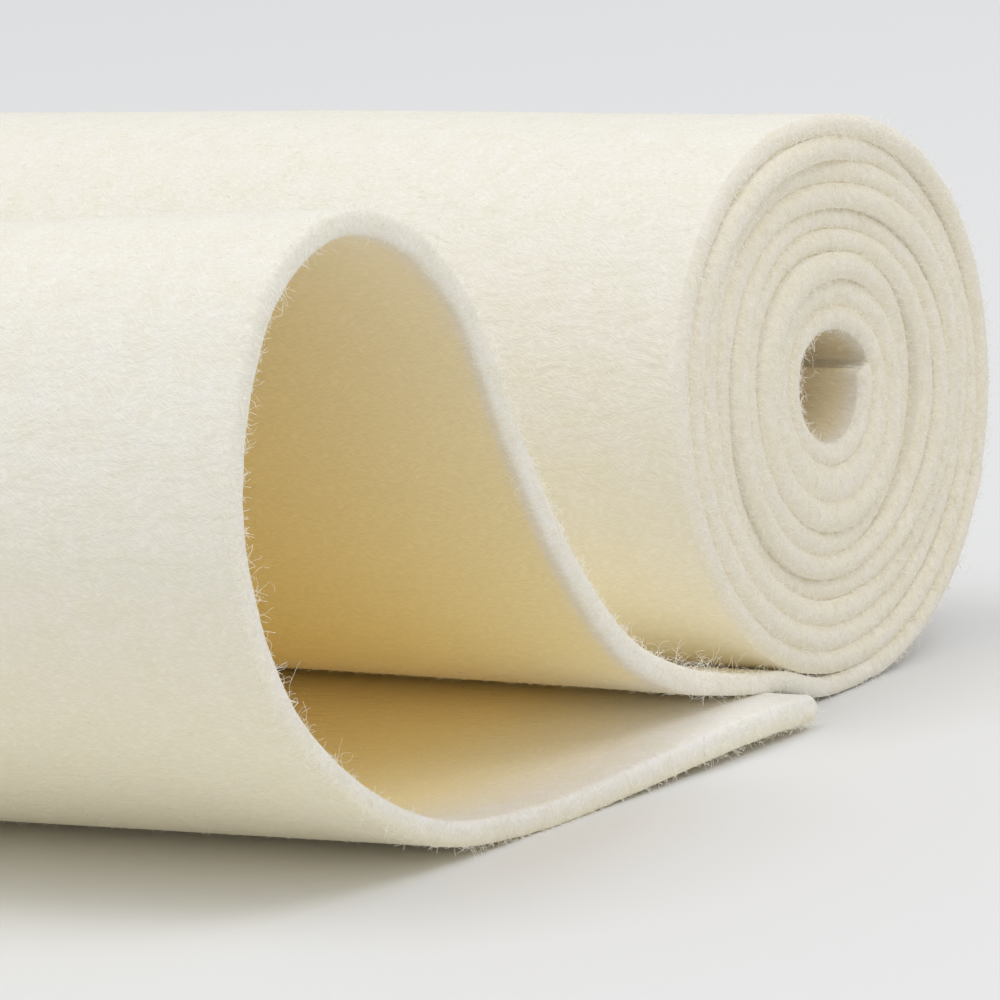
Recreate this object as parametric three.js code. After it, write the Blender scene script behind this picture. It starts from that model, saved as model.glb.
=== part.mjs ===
// Roll of thick wool felt with its outer end left loose.
// One cut sheet is wound on itself from the inside out. The last stretch leaves the bottom of the roll,
// rises in a loop beside it, comes down to the floor and runs back as a flap under the roll.
// The roll's axis is X, the loose end is on the -Y side, and Z is up. Millimetres.
import * as THREE from "three";

// The sheet
const SHEET_WIDTH = 200;
const FREE_THICKNESS = 3.0;
const WOUND_THICKNESS = 2.4;
const FELT_COLOUR = 0xede6d3;

// The wound part. Turns are counted from the roll's bottom inwards, and radius is to the felt's outer face.
const ROLL = [
  { turn: 0, radius: 36.0 },
  { turn: 1, radius: 33.3 },
  { turn: 2, radius: 30.6 },
  { turn: 3, radius: 27.7 },
  { turn: 4, radius: 24.7 },
  { turn: 5, radius: 21.9 },
  { turn: 6, radius: 19.2 },
  { turn: 7, radius: 16.2 },
  { turn: 8, radius: 12.9 },
  { turn: 8.5, radius: 11.1 },
  { turn: 9, radius: 8.6 },
  { turn: 9.3, radius: 8.9 },
];
const FLAT_SPOT_DEPTH = 0.15;
const CHORD_SAG = 0.07;

// The loose end: the middle of the felt's thickness at the +X end, from the roll's bottom to the flap's end.
// y is from the roll's axis and z from the floor.
const LOOSE_END = [
  { at: "under the roll", y: -7.4, z: 1.68 },
  { at: "over the flap's end", y: -15.4, z: 4.35 },
  { at: "bottom run", y: -25.4, z: 6.6 },
  { at: "foot of the rise", y: -35.4, z: 9 },
  { at: "foot of the rise", y: -47.1, z: 15.3 },
  { at: "rise", y: -58.1, z: 28.6 },
  { at: "rise", y: -66.4, z: 45.5 },
  { at: "shoulder", y: -72.8, z: 61.2 },
  { at: "shoulder", y: -82.4, z: 70.7 },
  { at: "loop's top", y: -94.4, z: 74.1 },
  { at: "loop's front", y: -106.4, z: 69.4 },
  { at: "loop's front", y: -114.7, z: 57 },
  { at: "loop's front", y: -117.7, z: 42.3 },
  { at: "loop's front", y: -113.1, z: 25.3 },
  { at: "way down", y: -101.6, z: 12.7 },
  { at: "way down", y: -85.9, z: 4 },
  { at: "flap", y: -69.4, z: 1.55 },
  { at: "flap", y: -59.4, z: 1.45 },
  { at: "flap", y: -47.4, z: 1.45 },
  { at: "flap pressed by the roll", y: -28.4, z: 1.15 },
  { at: "flap's end", y: -14, z: 1.15 },
];
const LOOSE_STEP = 4.5;
const PRESSED_RUN = 14;
const FREE_RUN = 34;

// Towards the -X end the loop is lower and reaches further forward, and the flap lies a little out of square.
const LOOP_DROP = 7.2;
const LOOP_SPREAD = 14;
const FLAP_SKEW = 3;
const FLAP_LENGTH = 70;
const RINGS = 4;

const turns = ROLL.map((row) => row.turn);
const radii = ROLL.map((row) => row.radius);
const outerRadius = new THREE.CubicInterpolant(turns, radii, 1);
const axisHeight = ROLL[0].radius - FLAT_SPOT_DEPTH;
const loopHeight = Math.max(...LOOSE_END.map((row) => row.z));
const loopReach = Math.max(...LOOSE_END.map((row) => -row.y));

// The felt's middle at a number of turns in from the roll's bottom.
function woundPoint(turn) {
  const radius = outerRadius.evaluate(turn)[0] - WOUND_THICKNESS / 2;
  const angle = turn * 2 * Math.PI;
  return new THREE.Vector3(0, radius * Math.sin(angle), axisHeight - radius * Math.cos(angle));
}

// The turn numbers from the inner tail out to the roll's bottom, closer together where the roll is tighter.
function woundTurns() {
  const list = [];
  let turn = turns[turns.length - 1];
  while (turn > 0) {
    list.push(turn);
    const radius = outerRadius.evaluate(turn)[0];
    turn -= Math.acos(1 - CHORD_SAG / radius) / Math.PI;
  }
  return list;
}

// The loose end's middle line, from just behind the roll's bottom; far goes from 0 at +X to 1 at -X.
function looseLine(joinTurn, far) {
  const points = LOOSE_END.map((row) => {
    const forward = LOOP_SPREAD * far * (row.y / loopReach) ** 2;
    const drop = LOOP_DROP * far * (row.z / loopHeight) ** 2;
    return new THREE.Vector3(0, row.y - forward, row.z - drop);
  });
  return new THREE.CatmullRomCurve3([woundPoint(joinTurn), woundPoint(0), ...points]);
}

const wound = woundTurns();
const joinTurn = wound.pop();
const nearLine = looseLine(joinTurn, 0);
const looseLength = nearLine.getLength();
const looseSteps = Math.round(looseLength / LOOSE_STEP);

// One outline of the sheet across the roll: matching lists of points on its two faces.
function section(far) {
  const middle = [...wound.map(woundPoint), ...looseLine(joinTurn, far).getSpacedPoints(looseSteps)];
  const faces = { back: [], front: [] };
  middle.forEach((point, i) => {
    const before = middle[Math.max(i - 1, 0)];
    const after = middle[Math.min(i + 1, middle.length - 1)];
    const along = after.clone().sub(before).normalize();
    const run = Math.max(0, i - wound.length) * LOOSE_STEP;
    const loose = THREE.MathUtils.smoothstep(Math.min(run, looseLength - run), PRESSED_RUN, FREE_RUN);
    const half = THREE.MathUtils.lerp(WOUND_THICKNESS, FREE_THICKNESS, loose) / 2;
    const skew = FLAP_SKEW * THREE.MathUtils.smoothstep(run, looseLength - FLAP_LENGTH, looseLength);
    const out = new THREE.Vector3(0, along.z, -along.y).multiplyScalar(half);
    for (const [face, side] of [["back", 1], ["front", -1]]) {
      const place = point.clone().addScaledVector(out, side);
      faces[face].push(new THREE.Vector3(skew, place.y, Math.max(place.z, 0)));
    }
  });
  return [...faces.back, ...faces.front.reverse()];
}

// The sheet is lofted through its outlines along X and closed at both cut edges.
function feltGeometry() {
  const positions = [];
  const triangles = [];
  let count = 0;
  for (let ring = 0; ring < RINGS; ring += 1) {
    const far = ring / (RINGS - 1);
    const outline = section(far);
    count = outline.length;
    const x = SHEET_WIDTH * (0.5 - far);
    outline.forEach((point) => positions.push(x + point.x, point.y, point.z));
  }
  for (let ring = 0; ring + 1 < RINGS; ring += 1) {
    for (let i = 0; i < count; i += 1) {
      const a = ring * count + i;
      const b = ring * count + ((i + 1) % count);
      triangles.push(a, a + count, b, b, a + count, b + count);
    }
  }
  const last = (RINGS - 1) * count;
  for (let i = 0; i + 1 < count / 2; i += 1) {
    const [a, b, c, d] = [i, i + 1, count - 2 - i, count - 1 - i];
    triangles.push(a, b, c, a, c, d);
    triangles.push(last + a, last + c, last + b, last + a, last + d, last + c);
  }
  const geometry = new THREE.BufferGeometry();
  geometry.setAttribute("position", new THREE.Float32BufferAttribute(positions, 3));
  geometry.setIndex(triangles);
  geometry.computeVertexNormals();
  return geometry;
}

// The origin is under the middle of the whole part, on the floor.
const felt = new THREE.Mesh(
  feltGeometry(),
  new THREE.MeshStandardMaterial({ color: FELT_COLOUR, roughness: 0.95, metalness: 0 }),
);
felt.name = "felt";
const box = new THREE.Box3().setFromObject(felt);
const centre = box.getCenter(new THREE.Vector3());
felt.position.set(-centre.x, -centre.y, -box.min.z);

const roll = new THREE.Group();
roll.name = "felt_roll";
roll.add(felt);

export default roll;
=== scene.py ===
import math

import bpy
import numpy as np
from mathutils import Matrix, Vector


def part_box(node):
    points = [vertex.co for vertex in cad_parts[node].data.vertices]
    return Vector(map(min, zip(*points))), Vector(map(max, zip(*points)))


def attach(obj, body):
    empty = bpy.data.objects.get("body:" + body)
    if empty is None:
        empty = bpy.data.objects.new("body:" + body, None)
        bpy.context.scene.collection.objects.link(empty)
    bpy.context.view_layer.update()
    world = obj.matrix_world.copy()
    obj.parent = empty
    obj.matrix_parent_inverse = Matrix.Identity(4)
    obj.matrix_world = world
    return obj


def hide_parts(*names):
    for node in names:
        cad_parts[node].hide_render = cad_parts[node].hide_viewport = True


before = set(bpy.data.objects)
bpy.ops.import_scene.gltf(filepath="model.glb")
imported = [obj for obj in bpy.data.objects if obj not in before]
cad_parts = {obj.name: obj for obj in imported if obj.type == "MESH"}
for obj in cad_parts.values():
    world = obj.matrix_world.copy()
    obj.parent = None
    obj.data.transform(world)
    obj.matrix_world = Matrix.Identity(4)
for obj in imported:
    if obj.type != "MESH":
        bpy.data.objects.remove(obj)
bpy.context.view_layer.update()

# The felt: one cut strip of thick cream wool felt, wound on itself by hand with no core.
# It leaves the bottom of the roll, rises in a loose loop, comes down to the floor, and runs back as a flap
# under its own foot. Sizes are millimetres; y is from the roll's axis and z from the floor.
MM = 0.001
SHEET_WIDTH = 200
FREE_THICKNESS = 3.0
FLAP_END_THICKNESS = 3.3
PRESSED_THICKNESS = 2.4
THICKEST = 4.7
PRESSED_OVERLAP = 0.25
SLACK_SIDE = 0.2
ROLL = [  # turns in from the roll's bottom, radius to the felt's outer face
    (0, 36.0),
    (1, 33.3),
    (2, 30.6),
    (3, 27.7),
    (4, 24.7),
    (5, 21.9),
    (6, 19.2),
    (7, 16.2),
    (8, 12.9),
    (8.5, 11.1),
    (9, 8.6),
    (9.3, 8.9),
]
FLAT_SPOT_DEPTH = 0.15
LOOSE_END = [  # where, y, z: the middle of the felt's thickness at the near end
    ("under the roll", -7.4, 1.68),
    ("over the flap's end", -15.4, 4.35),
    ("over the flap's end", -20.4, 5.15),
    ("bottom run", -25.4, 6.2),
    ("bottom run", -30.4, 7.5),
    ("foot of the rise", -35.4, 9),
    ("foot of the rise", -47.1, 15.3),
    ("rise", -58.1, 28.6),
    ("rise", -66.4, 45.5),
    ("shoulder", -72.8, 61.2),
    ("shoulder", -82.4, 70.7),
    ("loop's top", -94.4, 74.1),
    ("loop's front", -106.4, 69.4),
    ("loop's front", -114.7, 57),
    ("loop's front", -117.7, 42.3),
    ("loop's front", -113.1, 25.3),
    ("way down", -101.6, 12.7),
    ("way down", -85.9, 4),
    ("flap", -69.4, 1.55),
    ("flap", -59.4, 1.65),
    ("flap, arched", -47.4, 2.3),
    ("flap, arched", -37, 2.8),
    ("flap, arched", -28.4, 2.85),
    ("flap's end", -19.4, 2.4),
]
PRESSED_RUN = 26  # along the loose end, up to where it is pressed
FREE_RUN = 46  # and from where it is free
LOOP_DROP = 7.2  # at the far end
LOOP_SPREAD = 14  # at the far end
FLAP_SKEW = 6  # of the flap's end, along the roll
FLAP_LENGTH = 70
END_BLUNTNESS = 0.5
CREASE_PLACE = -34
CREASE_REACH = 13
CREASE_RISE = 1.2  # at the middle of the width
FLAP_RISE = 1.2  # at the middle of the width
JOIN_TURN = 0.02
TURN_STEP = 0.004
CURVE_STEPS = 40
LEAST_GAP = 1e-6
STATION_STEP = 1.5
END_STEPS = np.array([0, 0.06, 0.2, 0.45, 0.8, 1.2])

axis_height = ROLL[0][1] - FLAT_SPOT_DEPTH
turn_table, radius_table = np.array(ROLL, dtype=float).T
radius_slopes = np.gradient(radius_table, turn_table)


def outer_radius(turn):
    """Radius of the felt's outer face, on smooth curves through the roll's table."""
    turn = np.clip(turn, turn_table[0], turn_table[-1])
    span = np.clip(np.searchsorted(turn_table, turn) - 1, 0, len(turn_table) - 2)
    width = turn_table[span + 1] - turn_table[span]
    t = (turn - turn_table[span]) / width
    start = (1 + 2 * t) * (1 - t) ** 2 * radius_table[span] + t * (1 - t) ** 2 * width * radius_slopes[span]
    end = t**2 * (3 - 2 * t) * radius_table[span + 1] + t**2 * (t - 1) * width * radius_slopes[span + 1]
    return start + end


def wound_thickness(turn):
    """Thickness that fills the space up to the next turn in, and the free thickness at the slack middle.

    The turns press into each other, least on the side away from the loose loop.
    """
    overlap = PRESSED_OVERLAP - SLACK_SIDE * np.sin(turn * 2 * math.pi)
    room = outer_radius(turn) - outer_radius(turn + 1) + overlap
    return np.where(turn + 1 > turn_table[-1], FREE_THICKNESS, np.clip(room, PRESSED_THICKNESS, THICKEST))


def wound_line(turn):
    """The felt's middle in the roll, as rows of y and z."""
    radius = outer_radius(turn) - wound_thickness(turn) / 2
    angle = turn * 2 * math.pi
    return np.stack([radius * np.sin(angle), axis_height - radius * np.cos(angle)], axis=1)


def through_points(points, per_span):
    """A smooth line through the points: a centripetal Catmull-Rom curve."""
    padded = np.vstack([2 * points[0] - points[1], points, 2 * points[-1] - points[-2]])
    gaps = np.maximum(np.linalg.norm(np.diff(padded, axis=0), axis=1) ** 0.5, LEAST_GAP)
    t = np.linspace(0, 1, per_span, endpoint=False)[:, None]
    pieces = []
    for i in range(1, len(padded) - 2):
        before, start, end, after = padded[i - 1 : i + 3]
        g0, g1, g2 = gaps[i - 1 : i + 2]
        leave = ((start - before) / g0 - (end - before) / (g0 + g1) + (end - start) / g1) * g1
        arrive = ((end - start) / g1 - (after - start) / (g1 + g2) + (after - end) / g2) * g1
        curve = start + leave * t + (3 * (end - start) - 2 * leave - arrive) * t**2
        pieces.append(curve + (2 * (start - end) + leave + arrive) * t**3)
    return np.vstack(pieces + [points[-1:]])


def loose_line(far):
    """The loose end's middle; far goes from 0 at the near end to 1 at the other."""
    rows = np.array([row[1:] for row in LOOSE_END], dtype=float)
    forward = LOOP_SPREAD * far * (rows[:, 0] / rows[:, 0].min()) ** 2
    drop = LOOP_DROP * far * (rows[:, 1] / rows[:, 1].max()) ** 2
    rows = rows - np.stack([forward, drop], axis=1)
    return through_points(np.vstack([wound_line(np.array([JOIN_TURN, 0.0])), rows]), CURVE_STEPS)


def smoothstep(value, low, high):
    t = np.clip((value - low) / (high - low), 0, 1)
    return t * t * (3 - 2 * t)


def waves(random, along, longest, shortest, count):
    """Smooth unevenness of about unit size along a length, from a few seeded waves."""
    total = np.zeros_like(along)
    for _ in range(count):
        length = shortest * (longest / shortest) ** random.random()
        total += np.sin(along * 2 * math.pi / length + random.random() * 2 * math.pi)
    return total / math.sqrt(count / 2)


wound_turns = np.arange(turn_table[-1], JOIN_TURN, -TURN_STEP)
wound_middle = wound_line(wound_turns)
near_fine = np.vstack([wound_middle, loose_line(0)])
far_fine = np.vstack([wound_middle, loose_line(1)])
fine_run = np.concatenate([[0], np.cumsum(np.linalg.norm(np.diff(near_fine, axis=0), axis=1))])
sheet_length = fine_run[-1]
wound_length = fine_run[len(wound_turns)]
loose_length = sheet_length - wound_length

run = np.arange(STATION_STEP, sheet_length - STATION_STEP / 2, STATION_STEP)
run = np.unique(np.concatenate([run, END_STEPS, sheet_length - END_STEPS]))
fine_place = np.interp(run, fine_run, np.arange(len(fine_run)))
fine_index = np.arange(len(fine_run))


def at_stations(fine):
    return np.stack([np.interp(fine_place, fine_index, fine[:, k]) for k in range(2)], axis=1)


def normals_of(line):
    """Unit normals of a line of y and z: outwards on the loop, inwards on the roll."""
    along = np.gradient(line, axis=0)
    along /= np.linalg.norm(along, axis=1)[:, None]
    return np.stack([along[:, 1], -along[:, 0]], axis=1)


near_line = at_stations(near_fine)
far_line = at_stations(far_fine)
near_normal = normals_of(near_line)
far_normal = normals_of(far_line)

# How thick the strip is along its length, and where its two cut edges run. The cut wavers a little, and the
# edges of the inner turns stand in and out by more.
ROUNDED_EDGE = 1.0
WOUND_EDGE = 0.8
EDGE_BLEND = 30
EDGE_DRIFT = 0.6
LOOSE_DRIFT = 0.12
DRIFT_END = (300, 230)  # counted back from the end of the winding
DRIFT_WAVES = (260, 60, 6)  # longest, shortest, how many
CUT_WAVER = 0.03
WAVER_WAVES = (14, 4, 8)  # longest, shortest, how many
FELT_SEED = 11

turn_at = np.interp(run, fine_run[: len(wound_turns)], wound_turns)
turn_at[run > wound_length] = 0
loose_run = np.maximum(run - wound_length, 0)
free = smoothstep(loose_run, PRESSED_RUN, FREE_RUN)
flap_end = smoothstep(run, sheet_length - FLAP_LENGTH, sheet_length)
loose_thickness = PRESSED_THICKNESS + (FREE_THICKNESS - PRESSED_THICKNESS) * free
loose_thickness += (FLAP_END_THICKNESS - FREE_THICKNESS) * flap_end
thickness = np.where(run > wound_length, loose_thickness, wound_thickness(turn_at))
end_distance = np.minimum(run, sheet_length - run)
end_rounding = 1 - np.clip(end_distance / ROUNDED_EDGE, 0, 1)
half = thickness / 2 * (END_BLUNTNESS + (1 - END_BLUNTNESS) * np.sqrt(1 - end_rounding**2))
skew = FLAP_SKEW * flap_end

random = np.random.default_rng(FELT_SEED)
settled = smoothstep(run, wound_length - DRIFT_END[0], wound_length - DRIFT_END[1])
drift_size = EDGE_DRIFT + (LOOSE_DRIFT - EDGE_DRIFT) * settled
edge_drift = [drift_size * waves(random, run, *DRIFT_WAVES) for _ in range(2)]
cut_waver = [CUT_WAVER * waves(random, run, *WAVER_WAVES) for _ in range(2)]
wound_share = 1 - smoothstep(run, wound_length - EDGE_BLEND, wound_length + EDGE_BLEND)
edge_depth = ROUNDED_EDGE + (WOUND_EDGE - ROUNDED_EDGE) * wound_share
near_x = SHEET_WIDTH / 2 + edge_drift[0] + cut_waver[0] - edge_depth
far_x = -SHEET_WIDTH / 2 + edge_drift[1] + cut_waver[1] + edge_depth

# The strip's outline across its width, as one closed ring: a face, the far cut edge, the other face, the near
# cut edge. Side is 1 on the loop's outer face and -1 on its inner one.
EDGE_POINTS = 9
EDGE_SQUARENESS = 0.85
EDGE_COLUMNS = (0, 0.4, 1.2, 3)
FACE_COLUMNS = 14

sweep = np.linspace(0, math.pi, EDGE_POINTS + 2)[1:-1]
edge_side = np.sign(np.cos(sweep)) * np.abs(np.cos(sweep)) ** EDGE_SQUARENESS
loose_edge = np.sin(sweep) ** EDGE_SQUARENESS
wound_edge = 1 - edge_side**2
edge_out = loose_edge + (wound_edge - loose_edge) * wound_share[:, None]
edge_columns = np.array(EDGE_COLUMNS) / SHEET_WIDTH
inner_columns = np.linspace(edge_columns[-1], 1 - edge_columns[-1], FACE_COLUMNS)
column = np.concatenate([edge_columns[:-1], inner_columns, 1 - edge_columns[-2::-1]])
flat = np.zeros(len(column))
no_edge = np.zeros(EDGE_POINTS)
all_edge = np.ones(EDGE_POINTS)
ring_far = np.concatenate([column, all_edge, column[::-1], no_edge])
ring_side = np.concatenate([flat + 1, edge_side, flat - 1, -edge_side])
ring_near_edge = np.concatenate([flat, no_edge, flat, all_edge])
ring_far_edge = np.concatenate([flat, all_edge, flat, no_edge])
stations = len(run)
ring = len(ring_far)
ring_out = np.zeros((stations, ring))
ring_out[:, ring_near_edge > 0] = edge_depth[:, None] * edge_out
ring_out[:, ring_far_edge > 0] = -edge_depth[:, None] * edge_out

x = near_x[:, None] + (far_x - near_x)[:, None] * ring_far + ring_out + skew[:, None]
far_share = np.clip(0.5 - x / SHEET_WIDTH, 0, 1)[..., None]
middle = near_line[:, None] + (far_line - near_line)[:, None] * far_share
between_ends = 4 * far_share[..., 0] * (1 - far_share[..., 0])
near_crease = np.exp(-(((middle[..., 0] - CREASE_PLACE) / CREASE_REACH) ** 2))
crease_rise = np.where(loose_run < loose_length / 2, CREASE_RISE, FLAP_RISE) * (loose_run > 0)
middle[..., 1] += between_ends * near_crease * crease_rise[:, None]
normal = near_normal[:, None] + (far_normal - near_normal)[:, None] * far_share
normal /= np.linalg.norm(normal, axis=2)[..., None]
place = middle + normal * (half[:, None] * ring_side)[..., None]
clean = np.concatenate([x[..., None], place], axis=2)
clean[..., 2] = np.maximum(clean[..., 2], 0)

# Hand-rolled felt is never quite even. The whole strip is warped a little, and less near the floor, and
# the roll's section swells towards its upper back and is pressed down at its top.
UNEVENNESS = 0.15
HELD_BELOW = 1
FREE_ABOVE = 14
WARP_Y = [(23, 9, 0), (41, -15, 2)]  # length along x, along z, phase
WARP_Z = [(31, 11, 1), (17, -19, 0)]  # length along x, along y, phase
ROLL_SWELLS = [  # direction from the back in radians upwards, reach, share of the radius
    (0.42, 0.5, 0.034),
    (1.45, 0.45, -0.026),
]


def warp(table, across, along):
    return sum(np.sin(across / length + along / other + phase) for length, other, phase in table)


lift = smoothstep(clean[..., 2], HELD_BELOW, FREE_ABOVE)
direction = np.arctan2(clean[..., 2] - axis_height, clean[..., 1])
swell = np.zeros_like(direction)
for towards, reach, share in ROLL_SWELLS:
    swell += share * np.exp(-(((direction - towards) / reach) ** 2))
swell *= (run <= wound_length)[:, None]
warp_y = UNEVENNESS * lift * warp(WARP_Y, clean[..., 0], clean[..., 2])
warp_z = UNEVENNESS * lift * warp(WARP_Z, clean[..., 0], clean[..., 1])
points = clean.copy()
points[..., 1] += warp_y + swell * clean[..., 1]
points[..., 2] += warp_z + swell * (clean[..., 2] - axis_height)

felt_low, felt_high = (np.array(corner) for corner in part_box("felt"))
offset = felt_high - clean.reshape(-1, 3).max(axis=0) * MM
offset[0] = felt_low[0] + SHEET_WIDTH / 2 * MM
offset[2] = felt_low[2]
vertices = points.reshape(-1, 3) * MM + offset

corner = np.arange((stations - 1) * ring).reshape(stations - 1, ring)
beside = np.roll(corner, -1, axis=1)
sides = np.stack([corner, beside, beside + ring, corner + ring], axis=2).reshape(-1, 4)
faces = [tuple(face) for face in sides.tolist()]
faces.append(tuple(reversed(range(ring))))
faces.append(tuple((stations - 1) * ring + i for i in range(ring)))

felt_mesh = bpy.data.meshes.new("felt_sheet")
felt_mesh.from_pydata(vertices.tolist(), [], faces)
felt_mesh.polygons.foreach_set("use_smooth", [True] * len(felt_mesh.polygons))
felt = bpy.data.objects.new("felt_sheet", felt_mesh)
bpy.context.scene.collection.objects.link(felt)

# The UV map is the strip laid flat, in parts of UV_SPAN metres, cut open along the near edge's corner.
UV_SPAN = 2.0
half_way = clean[stations // 2]
ring_steps = np.linalg.norm(np.diff(half_way, axis=0, append=half_way[:1]), axis=1)
around = np.concatenate([[0], np.cumsum(ring_steps)])
quad_u = np.stack([around[:-1], around[1:], around[1:], around[:-1]], axis=1)
quad_v = np.stack([run[:-1], run[:-1], run[1:], run[1:]], axis=1)
side_uv = np.stack(np.broadcast_arrays(quad_u[None], quad_v[:, None]), axis=3).reshape(-1, 2)
tail_uv = np.stack([around[:-1], np.full(ring, run[0])], axis=1)[::-1]
flap_uv = np.stack([around[:-1], np.full(ring, run[-1])], axis=1)
uv_layer = felt_mesh.uv_layers.new(name="felt_uv")
felt_uv = np.concatenate([side_uv, tail_uv, flap_uv]) * MM / UV_SPAN
uv_layer.data.foreach_set("uv", felt_uv.ravel().astype(np.float32))


def store(mesh, name, grid):
    mesh.attributes.new(name, "FLOAT", "POINT").data.foreach_set("value", grid.ravel().astype(np.float32))


# Where nap grows: on the cut edges, less on the roll's worn rim, and on the faces that show, thickest in
# the mouth of the hole and where the strip passes over the flap. Pairs of numbers are where a change
# starts and ends.
OUTER_TURNS = 1.05
TOUCHES_FLOOR = 0.3
RIM_SIDE = -0.4
RIM_WEAR = 0.7
MOUTH_DEPTH = (-25, -5)
MOUTH_GROWTH = 6.0
OVER_FLAP = (15, 50)
CREASE_GROWTH = 3.0

is_loose = (run > wound_length)[:, None]
outer_turn = (turn_at < OUTER_TURNS)[:, None]
inner_turn = (turn_at > turn_table[-1] - 1)[:, None]
cut_edges = ring_near_edge + ring_far_edge
on_face = (cut_edges == 0)[None, :]
outer_side = (ring_side > 0)[None, :]
open_wound = (outer_turn & ~outer_side) | (inner_turn & outer_side)
shows = on_face & (clean[..., 2] > TOUCHES_FLOOR) & np.where(is_loose, outer_side, open_wound)
from_edge = SHEET_WIDTH / 2 - np.abs(clean[..., 0])
in_mouth = inner_turn * smoothstep(-from_edge, *MOUTH_DEPTH)
passes_flap = ((loose_run > OVER_FLAP[0]) & (loose_run < OVER_FLAP[1]))[:, None]
over_flap = on_face & ~outer_side & passes_flap
worn_rim = 1 - RIM_WEAR * outer_turn * (ring_side < RIM_SIDE)
store(felt_mesh, "near_edge", worn_rim * ring_near_edge)
store(felt_mesh, "far_edge", worn_rim * ring_far_edge)
store(felt_mesh, "open_face", shows * (1 + MOUTH_GROWTH * in_mouth) + CREASE_GROWTH * over_flap)

# Painted shade: the wool is given a warmer, yellower colour where shade falls, in the loop, the hole and the
# valley, in the crease, in the grooves between turns and low on the front.
# Pairs of numbers are where a change starts and ends, and minus values are for one that grows downwards,
# forwards or backwards along the strip.
# Painted light: the painted shade in the loop fades out in a lit strip along the cut edges, wider low down on
# the flap.
LIT_STRIP_WIDTH = 2.5
LIT_FLAP_WIDTH = 17.5
FLAP_HEIGHT = (-12, -3)
STRIP_FADE = (0.55, 1)
LOOP_RUN = (30, 60)
LOOP_DEEPEST = 1.25
LOOP_PALER = 0.6
LOOP_HEIGHT = (10, 70)
HOLE_SHARE = 0.5
HOLE_DEPTH = (0.5, 5)
HOLE_PAINTED_SHADE = 6
VALLEY_SHARE = 0.4
VALLEY_FRONT = (-5, 15)
VALLEY_HEIGHT = (-52, -5)
CREASE_SHARE = 0.35
CREASE_RUN = (-75, -20)
CREASE_DEPTH = (0.5, 6)
LOW_SHARE = 0.55
LOW_RUN = (90, 130)
LOW_HEIGHT = (-62, -8)
RUFFLE = 0.12
GROOVE_SHARE = 0.15
GROOVE_SIDE = (0.35, 1)
FLAP_RUN = (100, 80)  # counted back from the flap's end
FLAP_PAINTED_LIGHT = 0.25

height = clean[..., 2]
outward = np.clip(ring_side, 0, 1)[None, :]
inward = np.clip(-ring_side, 0, 1)[None, :]
lit_strip_width = LIT_STRIP_WIDTH + LIT_FLAP_WIDTH * smoothstep(-height, *FLAP_HEIGHT)
in_loop = inward * smoothstep(loose_run, *LOOP_RUN)[:, None] * smoothstep(from_edge / lit_strip_width, *STRIP_FADE)
in_loop = in_loop * (LOOP_DEEPEST - LOOP_PALER * smoothstep(height, *LOOP_HEIGHT))
in_hole = HOLE_SHARE * outward * inner_turn * smoothstep(from_edge, *HOLE_DEPTH)
valley_side = VALLEY_SHARE * inward * outer_turn * ~is_loose
in_valley = valley_side * smoothstep(-clean[..., 1], *VALLEY_FRONT) * smoothstep(-height, *VALLEY_HEIGHT)
crease_side = CREASE_SHARE * outward * is_loose
in_crease = crease_side * smoothstep(-loose_run, *CREASE_RUN)[:, None] * smoothstep(from_edge, *CREASE_DEPTH)
low_down = LOW_SHARE * outward * smoothstep(loose_run, *LOW_RUN)[:, None] * smoothstep(-height, *LOW_HEIGHT)
# The grooves between wound turns: painted shade towards each groove, plus a random warmer tone per station
# over the whole cut edge.
ruffle = RUFFLE * random.random((stations, 1))
between_turns = ~is_loose & ~on_face & ~open_wound
in_groove = between_turns * (ruffle + GROOVE_SHARE * smoothstep(np.abs(ring_side), *GROOVE_SIDE))
painted_shade_places = (in_loop, in_hole, in_valley, in_crease, low_down, in_groove)
# Painted shade: the strongest of these places counts.
painted_shade = np.max(np.broadcast_arrays(*painted_shade_places), axis=0)
# Painted light: on the flap's near strip the colour is pushed away from the painted shade, paler and more
# neutral.
on_flap = inward * smoothstep(loose_run, *(loose_length - np.array(FLAP_RUN)))[:, None]
painted_flap_light = FLAP_PAINTED_LIGHT * on_flap * smoothstep(-from_edge / lit_strip_width, -STRIP_FADE[1], -STRIP_FADE[0])
# Stored as one attribute: the painted shade less the painted light on the flap.
store(felt_mesh, "painted_shade", painted_shade - painted_flap_light)
# Painted shade: the wool in the hole is made darker; the wound turns' cut edges get a slightly darker, greyer
# tone.
store(felt_mesh, "cut_tone_and_hole_shade", wound_share[:, None] * cut_edges + HOLE_PAINTED_SHADE * in_hole)

# Loose hairs come out in tufts along the cut edges, thickest where the strip starts to rise beside the roll.
TUFT_WAVES = (90, 20, 7)  # longest, shortest, how many
TUFT_FADE = (-0.6, 1.4)
TANGLE_PLACE = 38
TANGLE_REACH = 11
TANGLE_SIDE = 0.2
TANGLE_GROWTH = 6.0
RIM_HAIRS = 0.25

tufts = smoothstep(waves(random, run, *TUFT_WAVES), *TUFT_FADE)[:, None]
tangle = np.exp(-(((loose_run - TANGLE_PLACE) / TANGLE_REACH) ** 2))[:, None] * (ring_side > TANGLE_SIDE)
edges_that_show = (1.0 * (is_loose | inner_turn) + RIM_HAIRS * outer_turn) * cut_edges
store(felt_mesh, "frayed_edge", edges_that_show * (tufts + TANGLE_GROWTH * tangle))


def add(tree, kind, values=None, **settings):
    """A node with its settings made and its inputs linked from sockets or set to plain values."""
    node = tree.nodes.new(kind)
    for name, value in settings.items():
        setattr(node, name, value)
    for key, value in (values or {}).items():
        if isinstance(value, bpy.types.NodeSocket):
            tree.links.new(value, node.inputs[key])
        else:
            node.inputs[key].default_value = value
    return node


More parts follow.
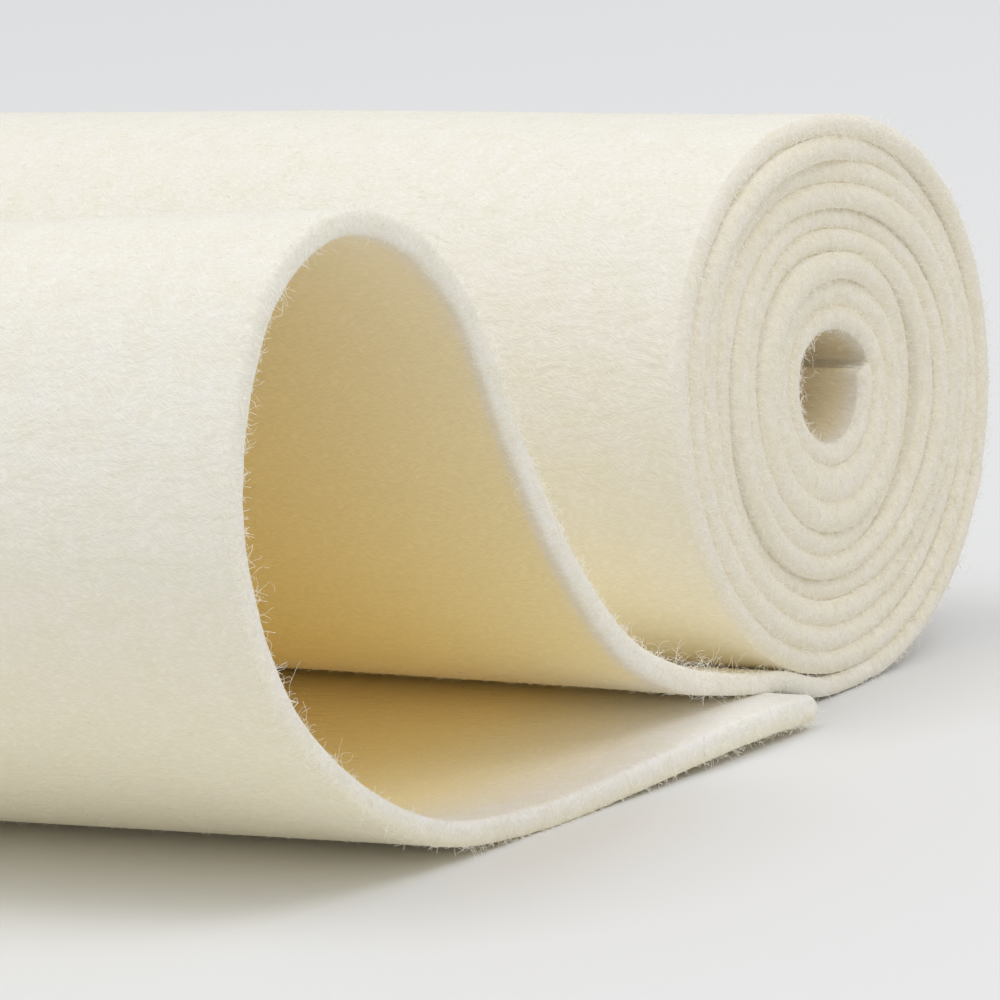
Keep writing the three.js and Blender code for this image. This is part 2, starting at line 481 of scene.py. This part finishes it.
def vector_math(tree, operation, first, second):
    """The vector that comes out of a Vector Math node."""
    key = "Scale" if operation == "SCALE" else 1
    return add(tree, "ShaderNodeVectorMath", {0: first, key: second}, operation=operation).outputs[0]


def number_math(tree, operation, first, second):
    """The number that comes out of a Math node."""
    return add(tree, "ShaderNodeMath", {0: first, 1: second}, operation=operation).outputs[0]


def colour_mix(tree, factor, first, second, **settings):
    """The colour that comes out of a Mix node."""
    values = {0: factor, 6: first, 7: second}
    return add(tree, "ShaderNodeMix", values, data_type="RGBA", **settings).outputs[2]


def flat_noise(tree, vector, scale, detail, roughness=0.5):
    """A noise on the laid-flat strip."""
    values = {"Vector": vector, "Scale": scale, "Detail": detail, "Roughness": roughness}
    return add(tree, "ShaderNodeTexNoise", values, noise_dimensions="2D").outputs


def stretch(tree, value, low, high):
    """The value with low made 0 and high made 1."""
    values = {"Value": value, "From Min": low, "From Max": high}
    return add(tree, "ShaderNodeMapRange", values).outputs[0]


def new_group(name, kind, inputs, outputs):
    """An empty node group with named sockets, and its input and output nodes."""
    tree = bpy.data.node_groups.new(name, kind)
    for direction, sockets in (("INPUT", inputs), ("OUTPUT", outputs)):
        for label, socket in sockets:
            tree.interface.new_socket(label, in_out=direction, socket_type="NodeSocket" + socket)
    return tree, tree.nodes.new("NodeGroupInput").outputs, tree.nodes.new("NodeGroupOutput").inputs


# Undyed wool is never one colour: cream drifts to a warmer tone in patches and in single fibres.
PATCHES_TO_A_METRE = 260.0
PATCH_DETAIL = 3.0
PATCH_ROUGHNESS = 0.65
NOISE_RANGE = (0.3, 0.7)
wool_tint, tint_in, tint_out = new_group(
    "wool_tint",
    "ShaderNodeTree",
    [("Vector", "Vector"), ("Pale", "Color"), ("Warm", "Color")],
    [("Colour", "Color")],
)
patches = flat_noise(wool_tint, tint_in["Vector"], PATCHES_TO_A_METRE, PATCH_DETAIL, PATCH_ROUGHNESS)
warmth = stretch(wool_tint, patches["Fac"], *NOISE_RANGE)
wool_tint.links.new(colour_mix(wool_tint, warmth, tint_in["Pale"], tint_in["Warm"]), tint_out["Colour"])

# Felted fibres lie in all directions, most of them along the roll, and show as short fine streaks that
# wander. The felt under them is a little crinkled.
STREAKS = [  # turn from the roll's axis in degrees, streaks to a metre across, and along
    (12, 5200, 800),
    (-33, 4700, 900),
]
STREAK_RANGE = (0.45, 0.8)
CRINKLES = (4, 800, 260)
CRINKLE_DETAIL = 1.0
BENDS_TO_A_METRE = 150.0
BEND_DETAIL = 1.0
BEND_SIZE = 2.6 * MM
NOISE_MIDDLE = (0.5, 0.5, 0.5)
felted, felted_in, felted_out = new_group(
    "felted_fibres",
    "ShaderNodeTree",
    [("Vector", "Vector")],
    [("Streaks", "Float"), ("Crinkles", "Float")],
)
wander = flat_noise(felted, felted_in["Vector"], BENDS_TO_A_METRE, BEND_DETAIL)
wander_centred = vector_math(felted, "SUBTRACT", wander["Color"], NOISE_MIDDLE)
wander_sized = vector_math(felted, "SCALE", wander_centred, BEND_SIZE)
matted = vector_math(felted, "ADD", felted_in["Vector"], wander_sized)


def streak_layer(angle, across, along, detail):
    """A noise drawn out into streaks that lie at an angle to the roll's axis."""
    turned = add(
        felted,
        "ShaderNodeMapping",
        {
            "Vector": matted,
            "Rotation": (0, 0, math.radians(angle)),
            "Scale": (1 / along, 1 / across, 1.0),
        },
        vector_type="TEXTURE",
    )
    return flat_noise(felted, turned.outputs[0], 1.0, detail)["Fac"]


strands = number_math(felted, "MAXIMUM", *(streak_layer(*row, 0.0) for row in STREAKS))
felted.links.new(stretch(felted, strands, *STREAK_RANGE), felted_out["Streaks"])
crinkles = streak_layer(*CRINKLES, CRINKLE_DETAIL)
felted.links.new(stretch(felted, crinkles, *NOISE_RANGE), felted_out["Crinkles"])

WOOL_PALE = (0.90, 0.87, 0.80, 1)
WOOL_WARM = (0.874, 0.846, 0.733, 1)
# The warmer, yellower colour mixed in as painted shade; a negative amount pushes away from it as painted
# light.
WOOL_PAINTED_SHADE = (0.957, 0.868, 0.565, 1)
# A darker, greyer multiplier: the wound turns' cut edges take it once, and the hole takes it further as
# painted shade.
CUT_TONE_AND_HOLE_SHADE = (0.975, 0.958, 0.93, 1)
STREAK_DARK = (0.965, 0.96, 0.95, 1)
STREAK_PALE = (1.03, 1.03, 1.04, 1)
BUMP_STRENGTH = 0.5
CRINKLE_HEIGHT = 0.12 * MM
STREAK_HEIGHT = 0.05 * MM

felt_material = bpy.data.materials.new("felted_wool")
felt_material.use_nodes = True
nodes = felt_material.node_tree
shader = nodes.nodes["Principled BSDF"]
felt_place = add(nodes, "ShaderNodeUVMap", uv_map="felt_uv")
metres = vector_math(nodes, "MULTIPLY", felt_place.outputs["UV"], (UV_SPAN, UV_SPAN, 1.0))
tint = add(nodes, "ShaderNodeGroup", node_tree=wool_tint)
nodes.links.new(metres, tint.inputs["Vector"])
tint.inputs["Pale"].default_value = WOOL_PALE
tint.inputs["Warm"].default_value = WOOL_WARM
surface = add(nodes, "ShaderNodeGroup", node_tree=felted)
nodes.links.new(metres, surface.inputs["Vector"])
# Painted shade and light read from the mesh: warmer where shade falls, paler on the flap's near strip, and
# darker in the hole.
shade_paint = add(nodes, "ShaderNodeAttribute", attribute_name="painted_shade").outputs["Fac"]
cut_and_hole_darkening = add(nodes, "ShaderNodeAttribute", attribute_name="cut_tone_and_hole_shade").outputs["Fac"]
with_painted_shade = colour_mix(nodes, shade_paint, tint.outputs["Colour"], WOOL_PAINTED_SHADE, clamp_factor=False)
shaded = colour_mix(nodes, cut_and_hole_darkening, with_painted_shade, CUT_TONE_AND_HOLE_SHADE, blend_type="MULTIPLY", clamp_factor=False)
streak_shade = colour_mix(nodes, surface.outputs["Streaks"], STREAK_DARK, STREAK_PALE)
streaked = colour_mix(nodes, 1.0, shaded, streak_shade, blend_type="MULTIPLY")
crinkled = add(
    nodes,
    "ShaderNodeBump",
    {"Strength": BUMP_STRENGTH, "Distance": CRINKLE_HEIGHT, "Height": surface.outputs["Crinkles"]},
)
bump = add(
    nodes,
    "ShaderNodeBump",
    {
        "Strength": BUMP_STRENGTH,
        "Distance": STREAK_HEIGHT,
        "Height": surface.outputs["Streaks"],
        "Normal": crinkled.outputs[0],
    },
)
nodes.links.new(streaked, shader.inputs["Base Color"])
nodes.links.new(bump.outputs[0], shader.inputs["Normal"])
shader.inputs["Roughness"].default_value = 0.95
shader.inputs["Specular IOR Level"].default_value = 0.1
shader.inputs["Sheen Weight"].default_value = 0.3
shader.inputs["Sheen Roughness"].default_value = 0.45
felt_mesh.materials.append(felt_material)

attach(felt, "root")
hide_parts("felt")

# The nap: single wool fibres that felting left standing. Short ones and curled ones cover the cut edges
# in all directions, short ones lie on the open faces, combed a little along the roll, and longer loose
# hairs curl out of the edges that show.
wool_fibres, hair_in, hair_out = new_group(
    "wool_fibres",
    "GeometryNodeTree",
    [
        ("Geometry", "Geometry"),
        ("Where", "String"),
        ("Fibres to a square metre", "Float"),
        ("Shortest", "Float"),
        ("Longest", "Float"),
        ("Radius", "Float"),
        ("Steps", "Int"),
        ("Lift", "Float"),
        ("Combed", "Float"),
        ("Scatter", "Float"),
        ("Curl", "Float"),
        ("Curls to a metre", "Float"),
        ("Seed", "Int"),
        ("Material", "Material"),
    ],
    [("Geometry", "Geometry")],
)
chosen = add(wool_fibres, "GeometryNodeInputNamedAttribute", {"Name": hair_in["Where"]}, data_type="FLOAT")
crowd = number_math(wool_fibres, "MULTIPLY", chosen.outputs[0], hair_in["Fibres to a square metre"])
roots = add(
    wool_fibres,
    "GeometryNodeDistributePointsOnFaces",
    {"Mesh": hair_in["Geometry"], "Density": crowd, "Seed": hair_in["Seed"]},
)
root_normal = roots.outputs["Normal"]

# A fibre lies along the felt in a random direction, lifted off it a little, and combed along the roll.
toss = add(
    wool_fibres,
    "FunctionNodeRandomValue",
    {"Min": (-1, -1, -1), "Max": (1, 1, 1), "Seed": hair_in["Seed"]},
    data_type="FLOAT_VECTOR",
).outputs[0]
into_felt = add(wool_fibres, "ShaderNodeVectorMath", {0: toss, 1: root_normal}, operation="DOT_PRODUCT")
upright = vector_math(wool_fibres, "SCALE", root_normal, into_felt.outputs["Value"])
lying = vector_math(wool_fibres, "SUBTRACT", toss, upright)
either_way = add(wool_fibres, "ShaderNodeVectorMath", {0: toss}, operation="SIGN").outputs[0]
along_roll = vector_math(wool_fibres, "MULTIPLY", either_way, (1, 0, 0))
combed = vector_math(wool_fibres, "SCALE", along_roll, hair_in["Combed"])
lifted = vector_math(wool_fibres, "SCALE", root_normal, hair_in["Lift"])
scattered = vector_math(wool_fibres, "SCALE", lying, hair_in["Scatter"])
leaning = vector_math(wool_fibres, "ADD", combed, lifted)
heading = vector_math(wool_fibres, "ADD", leaning, scattered)
turned_hair = add(wool_fibres, "FunctionNodeAlignRotationToVector", {"Vector": heading}, axis="Z")
hair_length = add(
    wool_fibres,
    "FunctionNodeRandomValue",
    {2: hair_in["Shortest"], 3: hair_in["Longest"], "Seed": hair_in["Seed"]},
    data_type="FLOAT",
)
hair_line = add(wool_fibres, "GeometryNodeCurvePrimitiveLine", {"Start": (0, 0, 0), "End": (0, 0, 1)})
stepped = add(
    wool_fibres, "GeometryNodeResampleCurve", {"Curve": hair_line.outputs[0], "Count": hair_in["Steps"]}
)
chance = add(wool_fibres, "FunctionNodeRandomValue", {"Seed": hair_in["Seed"]}, data_type="FLOAT")
toned = add(
    wool_fibres,
    "GeometryNodeStoreNamedAttribute",
    {"Geometry": roots.outputs["Points"], "Name": "tone", "Value": chance.outputs[1]},
    data_type="FLOAT",
    domain="POINT",
)
planted = add(
    wool_fibres,
    "GeometryNodeInstanceOnPoints",
    {
        "Points": toned.outputs[0],
        "Instance": stepped.outputs[0],
        "Rotation": turned_hair.outputs[0],
        "Scale": hair_length.outputs[1],
    },
)
hairs = add(wool_fibres, "GeometryNodeRealizeInstances", {"Geometry": planted.outputs[0]})

# Each fibre curls more towards its tip, and stops at the floor.
hair_place = add(wool_fibres, "GeometryNodeInputPosition")
bends = add(
    wool_fibres,
    "ShaderNodeTexNoise",
    {"Vector": hair_place.outputs[0], "Scale": hair_in["Curls to a metre"], "Detail": 0.0},
)
bend_centred = vector_math(wool_fibres, "SUBTRACT", bends.outputs["Color"], NOISE_MIDDLE)
along_hair = add(wool_fibres, "GeometryNodeSplineParameter")
bend_size = number_math(wool_fibres, "MULTIPLY", along_hair.outputs["Factor"], hair_in["Curl"])
bend = vector_math(wool_fibres, "SCALE", bend_centred, bend_size)
curled = add(wool_fibres, "GeometryNodeSetPosition", {"Geometry": hairs.outputs[0], "Offset": bend})
hair_bent = add(wool_fibres, "GeometryNodeInputPosition")
bent_axes = add(wool_fibres, "ShaderNodeSeparateXYZ", {0: hair_bent.outputs[0]})
off_ground = number_math(wool_fibres, "MAXIMUM", bent_axes.outputs["Z"], hair_in["Radius"])
above_floor = add(
    wool_fibres,
    "ShaderNodeCombineXYZ",
    {"X": bent_axes.outputs["X"], "Y": bent_axes.outputs["Y"], "Z": off_ground},
)
grounded = add(
    wool_fibres,
    "GeometryNodeSetPosition",
    {"Geometry": curled.outputs[0], "Position": above_floor.outputs[0]},
)
hair_round = add(
    wool_fibres, "GeometryNodeCurvePrimitiveCircle", {"Resolution": 3, "Radius": hair_in["Radius"]}
)
drawn = add(
    wool_fibres,
    "GeometryNodeCurveToMesh",
    {"Curve": grounded.outputs[0], "Profile Curve": hair_round.outputs[0], "Fill Caps": True},
)
whole = add(wool_fibres, "GeometryNodeRealizeInstances", {"Geometry": drawn.outputs[0]})
faceted = add(
    wool_fibres, "GeometryNodeSetShadeSmooth", {"Geometry": whole.outputs[0], "Shade Smooth": False}
)
finished = add(
    wool_fibres, "GeometryNodeSetMaterial", {"Geometry": faceted.outputs[0], "Material": hair_in["Material"]}
)
wool_fibres.links.new(finished.outputs[0], hair_out["Geometry"])

FIBRE_PALE = (0.96, 0.94, 0.885, 1)
FIBRE_WARM = (0.88, 0.845, 0.735, 1)
fibre_material = bpy.data.materials.new("wool_fibre")
fibre_material.use_nodes = True
nodes = fibre_material.node_tree
shader = nodes.nodes["Principled BSDF"]
fibre_tone = add(nodes, "ShaderNodeAttribute", attribute_name="tone")
fibre_tint = add(nodes, "ShaderNodeGroup", node_tree=wool_tint)
nodes.links.new(fibre_tone.outputs["Vector"], fibre_tint.inputs["Vector"])
fibre_tint.inputs["Pale"].default_value = FIBRE_PALE
fibre_tint.inputs["Warm"].default_value = FIBRE_WARM
nodes.links.new(fibre_tint.outputs["Colour"], shader.inputs["Base Color"])
shader.inputs["Roughness"].default_value = 0.8
shader.inputs["Specular IOR Level"].default_value = 0.2
shader.inputs["Sheen Weight"].default_value = 0.3

EDGE_NAP = {
    "Shortest": 0.4 * MM,
    "Longest": 1.4 * MM,
    "Radius": 0.026 * MM,
    "Steps": 3,
    "Lift": 0.42,
    "Combed": 0.0,
    "Scatter": 1.0,
    "Curl": 1.0 * MM,
    "Curls to a metre": 1000.0,
}
EDGE_CURLS = {
    "Shortest": 0.8 * MM,
    "Longest": 2.0 * MM,
    "Radius": 0.02 * MM,
    "Steps": 6,
    "Lift": 0.22,
    "Combed": 0.0,
    "Scatter": 1.0,
    "Curl": 2.4 * MM,
    "Curls to a metre": 800.0,
}
FACE_NAP = {
    "Shortest": 0.3 * MM,
    "Longest": 0.9 * MM,
    "Radius": 0.024 * MM,
    "Steps": 2,
    "Lift": 0.3,
    "Combed": 0.5,
    "Scatter": 0.8,
    "Curl": 0.5 * MM,
    "Curls to a metre": 900.0,
}
STRAY_HAIRS = {
    "Shortest": 0.6 * MM,
    "Longest": 3.2 * MM,
    "Radius": 0.018 * MM,
    "Steps": 14,
    "Lift": 0.3,
    "Combed": 0.0,
    "Scatter": 1.0,
    "Curl": 6.5 * MM,
    "Curls to a metre": 520.0,
}
NAP = [  # name, where it grows, fibres to a square metre, seed, what the fibres are like
    ("near_edge_nap", "near_edge", 2.5e6, 3, EDGE_NAP),
    ("near_edge_curls", "near_edge", 1.2e6, 7, EDGE_CURLS),
    ("far_edge_nap", "far_edge", 1.9e6, 4, EDGE_NAP),
    ("face_nap", "open_face", 1.6e5, 5, FACE_NAP),
    ("stray_hairs", "frayed_edge", 3.2e5, 6, STRAY_HAIRS),
]
hair_sockets = [item for item in wool_fibres.interface.items_tree if item.in_out == "INPUT"]
socket_of = {item.name: item.identifier for item in hair_sockets}
for name, where, count, seed, fibres in NAP:
    host = bpy.data.objects.new("nap_host", felt_mesh)
    bpy.context.scene.collection.objects.link(host)
    growth = host.modifiers.new("growth", "NODES")
    growth.node_group = wool_fibres
    growth[socket_of["Material"]] = fibre_material
    growth[socket_of["Where"]] = where
    growth[socket_of["Fibres to a square metre"]] = count
    growth[socket_of["Seed"]] = seed
    for label, value in fibres.items():
        growth[socket_of[label]] = value
    grown = host.evaluated_get(bpy.context.evaluated_depsgraph_get())
    nap_mesh = bpy.data.meshes.new_from_object(grown)
    bpy.data.objects.remove(host)
    nap_mesh.name = name
    nap_piece = bpy.data.objects.new(name, nap_mesh)
    bpy.context.scene.collection.objects.link(nap_piece)
    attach(nap_piece, "root")

# The studio: a plain pale floor of matt paper, even light from all round, a broad soft light overhead and a
# smaller one towards the near end.
FLOOR_SIZE = 12.0
FLOOR_GREY = (0.784, 0.789, 0.798, 1)
floor_mesh = bpy.data.meshes.new("floor")
floor_half = FLOOR_SIZE / 2
floor_corners = [(-1, -1), (1, -1), (1, 1), (-1, 1)]
floor_mesh.from_pydata([(a * floor_half, b * floor_half, 0) for a, b in floor_corners], [], [(0, 1, 2, 3)])
floor = bpy.data.objects.new("floor", floor_mesh)
bpy.context.scene.collection.objects.link(floor)
floor_material = bpy.data.materials.new("floor_paper")
floor_material.use_nodes = True
floor_shader = floor_material.node_tree.nodes["Principled BSDF"]
floor_shader.inputs["Base Color"].default_value = FLOOR_GREY
floor_shader.inputs["Roughness"].default_value = 1.0
floor_shader.inputs["Specular IOR Level"].default_value = 0.0
floor_mesh.materials.append(floor_material)

ROOM_LIGHT = 0.68
world = bpy.data.worlds.new("studio")
world.use_nodes = True
world.node_tree.nodes["Background"].inputs["Color"].default_value = (1, 1, 1, 1)
world.node_tree.nodes["Background"].inputs["Strength"].default_value = ROOM_LIGHT
bpy.context.scene.world = world

SOFTBOXES = [  # name, place in metres, size, watts
    ("overhead", (-0.8, -1.0, 4.0), 2.5, 40),
    ("near end", (1.0, -0.1, 1.5), 0.8, 6),
]
for name, spot, size, watts in SOFTBOXES:
    lamp = bpy.data.lights.new(name, "AREA")
    lamp.size = size
    lamp.energy = watts
    lamp_object = bpy.data.objects.new(name, lamp)
    lamp_object.location = spot
    lamp_object.rotation_euler = (-Vector(spot)).to_track_quat("-Z", "Y").to_euler()
    bpy.context.scene.collection.objects.link(lamp_object)

LIGHT_BOUNCES = 14
bpy.context.scene.view_settings.view_transform = "Standard"
bpy.context.scene.cycles.max_bounces = LIGHT_BOUNCES
bpy.context.scene.cycles.diffuse_bounces = LIGHT_BOUNCES

# The camera stands at the photograph's angle, from the near end, and is tipped a little on its own axis.
AZIMUTH = math.radians(35.98)
ELEVATION = math.radians(11.06)
CAMERA_TIP = math.radians(-5.81)
CAMERA_DISTANCE = 0.85
CAMERA_AIM = Vector((0.0657, 0.0239, 0.0275))
CLIP_START = 0.05
SENSOR = 36.0
FOCAL_PIXELS = 7107.6
PHOTO_PIXELS = 1000
backwards = Vector(
    (
        math.sin(AZIMUTH) * math.cos(ELEVATION),
        -math.cos(AZIMUTH) * math.cos(ELEVATION),
        math.sin(ELEVATION),
    )
)
level_right = Vector((0, 0, 1)).cross(backwards).normalized()
level_up = backwards.cross(level_right)
right = level_right * math.cos(CAMERA_TIP) + level_up * math.sin(CAMERA_TIP)
up = level_up * math.cos(CAMERA_TIP) - level_right * math.sin(CAMERA_TIP)
facing = Matrix((right, up, backwards)).transposed().to_4x4()
camera_data = bpy.data.cameras.new("camera")
camera_data.sensor_width = SENSOR
camera_data.lens = SENSOR * FOCAL_PIXELS / PHOTO_PIXELS
camera_data.clip_start = CLIP_START
camera = bpy.data.objects.new("camera", camera_data)
camera.matrix_world = Matrix.Translation(CAMERA_AIM + backwards * CAMERA_DISTANCE) @ facing
bpy.context.scene.collection.objects.link(camera)
bpy.context.scene.camera = camera
